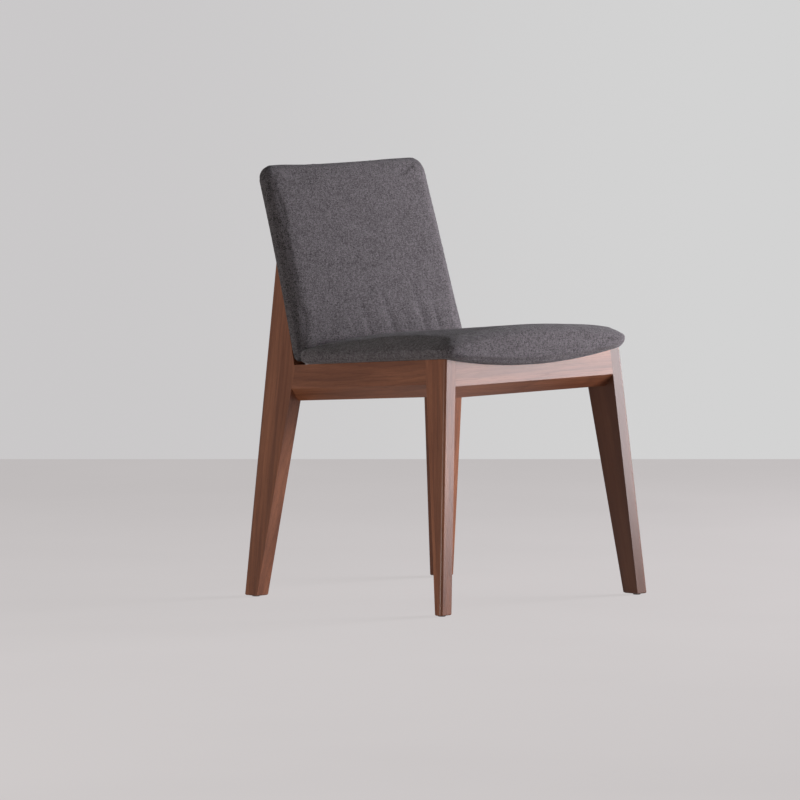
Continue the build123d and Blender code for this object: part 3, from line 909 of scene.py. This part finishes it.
class CHAIR_OT_back_pad(Operator):
    """Make the back pad and its cloth"""

    bl_idname = "chair.back_pad"
    bl_label = "Back pad"

    def execute(self, context):
        settings = context.scene.side_chair
        back = settings.back
        turn = back_turn()
        layers = ("back_cover", "back_foam", "back_panel")
        pad = stuffed("back_pad", layers, back, lambda facing: facing @ turn[2] < BACK_HELD)
        self.ease_edges(pad, back, turn)
        subdivide(pad)
        self.pull_folds(pad, back, turn)
        keep_clear(pad, "back_panel", back.cover)
        lay_weave(pad, turn)
        # The back's cloth is a darker copy of the seat's cloth: painted shade
        add_piece(pad, melange("back_cloth", settings.cloth, settings.cloth.shade_share))
        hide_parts("back_cover", "back_foam")
        return {"FINISHED"}

    def ease_edges(self, pad, back, turn):
        """The front falls away, the bottom corners are pulled square and the top edge wavers."""
        points, facing = coordinates(pad.data) @ turn.T, normals(pad.data) @ turn.T
        above, below = points[:, 1] - points[:, 1].min(), points[:, 1].max() - points[:, 1]
        half = tapered_half(points, below, back.roll)
        middle = np.sin(pi * np.clip(above / np.ptp(points[:, 1]), 0, 1))
        side = edge_fall(half - np.abs(points[:, 0]), back.roll, back.side_fall)
        side *= END_SHARE + (1 - END_SHARE) * middle
        ends = edge_fall(np.minimum(above, below), back.roll, back.end_fall)
        points[:, 2] -= np.maximum(side, ends) * ramp(facing[:, 2], *FRONT_ZONE)
        square_corners(points, half, above, back.square, -1)
        lift = TOP_LIFT + TOP_GAIN * np.clip(points[:, 0] / TOP_REACH, -1, 1)
        lift += TOP_BUMP * bump_curve(points[:, 0] - TOP_BUMP_PLACE, TOP_BUMP_WIDTH)
        points[:, 1] += lift * back.lift * (1 - ramp(below, 0, 2 * back.roll))
        move_points(pad.data, points @ turn)

    def pull_folds(self, pad, back, turn):
        """Soft upright folds where the cover is drawn down behind the seat."""
        points, facing = coordinates(pad.data) @ turn.T, normals(pad.data) @ turn.T
        above = points[:, 1] - points[:, 1].min()
        sink = np.zeros(len(points))
        for place, width, depth, height in PULL_FOLDS:
            near = bump_curve(points[:, 0] - place + FOLD_LEAN * above, width)
            sink += depth * near * (1 - ramp(above, FOLD_FULL * height, height))
        points[:, 2] -= sink * back.pull * ramp(facing[:, 2], *FOLD_ZONE)
        move_points(pad.data, points @ turn)


def back_turn():
    """Directions of the back as rows: across, up along it, and out of its front."""
    axes, _ = board_axes("back_panel")
    front = axes[2] if axes[2].y < 0 else -axes[2]
    up = axes[1] if axes[1].z > 0 else -axes[1]
    return np.array([(1, 0, 0), up, front])


def edge_fall(inside, roll, fall):
    """How far a surface falls at a distance inside its edge."""
    return np.clip(1 - inside / roll, 0, 1) ** 2 * fall


def tapered_half(points, distance, roll):
    """Half of a pad's width beside each point, at its distance from the narrow end."""
    narrow = np.abs(points[distance < 2 * roll, 0]).max()
    return narrow + (points[:, 0].max() - narrow) * distance / np.ptp(points[:, 1])


def square_corners(points, half, distance, size, way):
    """Round corners at the end of a pad are pulled nearly square, that way along it."""
    out, on = np.abs(points[:, 0]) - half + size, size - distance
    inside = (out > 0) & (on > 0)
    first, second = np.where(inside, out, 1), np.where(inside, on, 1)
    reach = (first**CORNER_POWER + second**CORNER_POWER) ** (1 / CORNER_POWER)
    stretch = np.where(inside, np.hypot(first, second) / reach - 1, 0)
    points[:, 0] += np.sign(points[:, 0]) * out * stretch
    points[:, 1] += way * on * stretch


class CHAIR_OT_back_seam(Operator):
    """Sew the seam that closes the back's cover behind"""

    bl_idname = "chair.back_seam"
    bl_label = "Back seam"

    def execute(self, context):
        seam = context.scene.side_chair.seam
        pad = bpy.data.objects["back_pad"]
        turn = back_turn()
        points = coordinates(pad.data) @ turn.T
        low = points.min(axis=0)
        facing = normals(pad.data) @ turn.T
        line = low[1] + seam.inset
        inside = ramp(np.abs(points[:, 0]), seam.half + seam.fade, seam.half)
        behind = ramp(-facing[:, 2], *SEAM_ZONE)
        points[:, 2] += bump_curve(points[:, 1] - line, seam.crease_width) * inside * behind * seam.crease
        move_points(pad.data, points @ turn)
        surface = BVHTree.FromObject(pad, context.evaluated_depsgraph_get())
        path = []
        for across in np.linspace(-seam.half, seam.half, SEAM_POINTS):
            start = Vector(np.array((across, line, low[2] - RAY_START)) @ turn)
            place = surface.ray_cast(start, Vector(turn[2]))[0]
            if place is None:
                raise RuntimeError("the seam has left the back's cover")
            path.append(place)
        wire_row("back_seam", path, False, pad, seam, thread())
        return {"FINISHED"}


class CHAIR_OT_lining(Operator):
    """Make the lining under the seat"""

    bl_idname = "chair.lining"
    bl_label = "Seat lining"

    def execute(self, context):
        lining = context.scene.side_chair.lining
        solid = solid_tree("seat_lining")
        low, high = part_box("seat_lining")
        build = bmesh.new()
        grid = []
        for y in np.linspace(low.y, high.y, lining.rows + 2)[1:-1]:
            half = half_width(solid, y, high.x, low.z)
            line = []
            for share in np.linspace(-LINING_SHARE, LINING_SHARE, lining.columns):
                x = half * share
                place = under(solid, x, y, low.z)
                if place is None:
                    line.append(None)
                    continue
                sag = lining.drop + ripple(x, y) * (1 - abs(share)) ** 0.5 * lining.ripple
                line.append(build.verts.new((x, y, place.z - sag)))
            grid.append(line)
        for first, second in zip(grid, grid[1:]):
            for corner in range(lining.columns - 1):
                square = (first[corner], second[corner], second[corner + 1], first[corner + 1])
                if None not in square:
                    build.faces.new(square)
        loose = [vert for vert in build.verts if not vert.link_faces]
        bmesh.ops.delete(build, geom=loose, context="VERTS")
        area = sum(face.calc_area() for face in build.faces)
        name = "seat_lining_cloth"
        obj = new_object(name, finished_mesh(name, build))
        wall = obj.modifiers.new("Thickness", "SOLIDIFY")
        wall.thickness = lining.thickness
        wall.offset = -1
        settle(obj)
        add_piece(obj, lining_cloth())
        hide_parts("seat_lining")
        return {"FINISHED"}


def ripple(x, y):
    """Height of the lining's crossing ripples at a place, from 0 to 1."""
    aside = 2 * sin(y * WAVES_ASIDE)
    return 0.5 + 0.5 * sin(x * WAVES_ACROSS + aside) * cos(y * WAVES_ALONG)


class CHAIR_OT_staples(Operator):
    """Staple the lining round its edge"""

    bl_idname = "chair.staples"
    bl_label = "Staples"

    def execute(self, context):
        staples = context.scene.side_chair.staples
        cloth = bpy.data.objects["seat_lining_cloth"]
        surface = BVHTree.FromObject(cloth, context.evaluated_depsgraph_get())
        low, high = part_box("seat_lining")
        depths = np.linspace(low.y + 2 * staples.inset, high.y - 2 * staples.inset, STAPLE_POINTS)
        halves = [half_width(surface, y, high.x, low.z) - staples.inset for y in depths]
        ring = list(zip(halves, depths))
        ring += [(x, depths[-1]) for x in np.linspace(halves[-1], -halves[-1], STAPLE_POINTS)[1:-1]]
        ring += [(-half, y) for half, y in zip(halves[::-1], depths[::-1])]
        ring += [(x, depths[0]) for x in np.linspace(-halves[0], halves[0], STAPLE_POINTS)[1:-1]]
        places = [under(surface, x, y, low.z) for x, y in ring]
        path = [place for place in places if place is not None]
        steel = bpy.data.materials["zinc_steel"]
        wire_row("lining_staples", path, True, cloth, staples, steel)
        return {"FINISHED"}


def under(tree, x, y, floor):
    """Point on the underside of a solid above a place, or None."""
    return tree.ray_cast(Vector((x, y, floor - RAY_START)), UP)[0]


def half_width(tree, y, reach, floor):
    """Furthest distance from the middle at which a solid is found at a depth."""
    inside, outside = 0.0, reach + 0.001
    for _ in range(HALVINGS):
        middle = (inside + outside) / 2
        if under(tree, middle, y, floor) is None:
            outside = middle
        else:
            inside = middle
    return inside


def stand_off(obj, aim, toward, distance):
    """A camera or lamp moved to a distance from its aim, which it faces."""
    obj.location = aim + toward * distance
    obj.rotation_euler = toward.to_track_quat("Z", "Y").to_euler()


class CHAIR_OT_stage(Operator):
    """Make the floor, the lights and the camera"""

    bl_idname = "chair.stage"
    bl_label = "Stage"

    def execute(self, context):
        stage = context.scene.side_chair.stage
        turn = Matrix.Rotation(stage.azimuth, 3, "Z")
        toward = turn @ Vector((0, -cos(stage.pitch), sin(stage.pitch)))
        away = turn @ Vector((0, 1, 0))
        across = turn @ Vector((1, 0, 0))
        self.add_camera(context, stage, toward)
        self.add_floor(stage, away, across)
        for name, (direction, distance, size, tint) in LAMPS.items():
            lamp = self.add_lamp(name, Vector(direction).normalized(), distance, size)
            lamp.energy = getattr(stage, name)
            lamp.color = tint
        self.add_world(context, stage, across)
        context.scene.view_settings.view_transform = "Standard"
        return {"FINISHED"}

    def add_camera(self, context, stage, toward):
        """Camera at the photograph's angle."""
        camera = new_object("camera", bpy.data.cameras.new("camera"))
        camera.data.lens = stage.lens
        stand_off(camera, Vector(stage.aim), toward, stage.distance)
        context.scene.camera = camera

    def add_floor(self, stage, away, across):
        """Pale floor, darker with distance, nearly without shadows and clear from below."""
        graph, _ = new_material("pale_floor")
        place = graph.place()
        cloud = graph.noise(place, (1.6,) * 3, 4)
        # Painted shade: the floor's colour darkens with distance, on top of its cloudy tone
        level = graph.smooth(graph.along(place, away), *FLOOR_DEPTHS) + (cloud - 0.5) * 0.5
        shade = graph.mix(level, *(Vector(stage.floor) * share for share in FLOOR_SHARES))
        far, wide = stage.floor_reach, FLOOR_SPAN * stage.floor_reach
        corners = ((wide, far), (-wide, far), (-wide, -wide), (wide, -wide))
        build = bmesh.new()
        build.faces.new([build.verts.new(across * x + away * y) for x, y in corners])
        mesh = finished_mesh("floor", build)
        floor = new_object("floor", mesh)
        seen = graph.background_rays()
        thrown = graph.stretch(shade, (stage.bounce,) * 3)
        lit = graph.node("ShaderNodeBsdfDiffuse", {}, {"Color": graph.mix(seen, thrown, shade)})
        plain = graph.node("ShaderNodeEmission", {}, {"Color": shade, "Strength": 1.0})
        above = graph.node("ShaderNodeMixShader", {}, {0: seen * stage.evenness, 1: lit, 2: plain})
        below = graph.node("ShaderNodeNewGeometry", {}, {}, "Backfacing")
        clear = graph.node("ShaderNodeBsdfTransparent")
        surface = graph.node("ShaderNodeMixShader", {}, {0: below, 1: above, 2: clear})
        graph.node("ShaderNodeOutputMaterial", {}, {"Surface": surface})
        mesh.materials.append(bpy.data.materials["pale_floor"])

    def add_lamp(self, name, toward, distance, size):
        """Large soft light that faces the chair and isn't seen itself."""
        lamp = bpy.data.lights.new(name, "AREA")
        lamp.shape = "RECTANGLE"
        lamp.size, lamp.size_y = size
        light = new_object(name, lamp)
        light.visible_camera = False
        stand_off(light, LAMP_AIM, toward, distance)
        return lamp

    def add_world(self, context, stage, across):
        """Light from all round, brighter level with the chair than above, with the wall's colour behind."""
        world = bpy.data.worlds.new("room")
        world.use_nodes = True
        world.node_tree.nodes.clear()
        graph = Graph(world.node_tree)
        direction = graph.node("ShaderNodeTexCoord", {}, {}, "Generated")
        level = graph.smooth(graph.split(direction)[2], *GLOW_HEIGHTS)
        glow = graph.mix(level, (0.05, 0.05, 0.055), (1.0, 0.98, 0.96))
        room = graph.node("ShaderNodeBackground", {}, {"Color": glow, "Strength": stage.fill})
        aside = graph.smooth(graph.along(direction, across), -0.05, 0.05)
        painted = graph.mix(aside, stage.wall_left, stage.wall_right)
        wall = graph.node("ShaderNodeBackground", {}, {"Color": painted, "Strength": 1.0})
        seen = graph.background_rays()
        shown = graph.node("ShaderNodeMixShader", {}, {0: seen, 1: room, 2: wall})
        graph.node("ShaderNodeOutputWorld", {}, {"Surface": shown})
        context.scene.world = world


OPERATORS = (
    CHAIR_OT_wood_frame,
    CHAIR_OT_hardware,
    CHAIR_OT_seat_pad,
    CHAIR_OT_back_pad,
    CHAIR_OT_back_seam,
    CHAIR_OT_lining,
    CHAIR_OT_staples,
    CHAIR_OT_stage,
)


class CHAIR_PT_side_chair(Panel):
    """Buttons that dress the chair"""

    bl_idname = "CHAIR_PT_side_chair"
    bl_label = "Side chair"
    bl_space_type = "VIEW_3D"
    bl_region_type = "UI"
    bl_category = "Side chair"

    def draw(self, context):
        for operator in OPERATORS:
            self.layout.operator(operator.bl_idname)


GROUPS = (
    WoodSettings, ClothSettings, SeatSettings, BackSettings, LiningSettings,
    StapleSettings, SeamSettings, StageSettings, ChairSettings,
)


def register():
    """Add the chair's settings, operators and panel."""
    for item in (*GROUPS, *OPERATORS, CHAIR_PT_side_chair):
        bpy.utils.register_class(item)
    bpy.types.Scene.side_chair = PointerProperty(type=ChairSettings)


def unregister():
    """Remove what register added."""
    del bpy.types.Scene.side_chair
    for item in reversed((*GROUPS, *OPERATORS, CHAIR_PT_side_chair)):
        bpy.utils.unregister_class(item)


def main():
    """Dress the chair."""
    register()
    for operator in OPERATORS:
        group, name = operator.bl_idname.split(".")
        getattr(getattr(bpy.ops, group), name)()


if __name__ == "__main__":
    main()
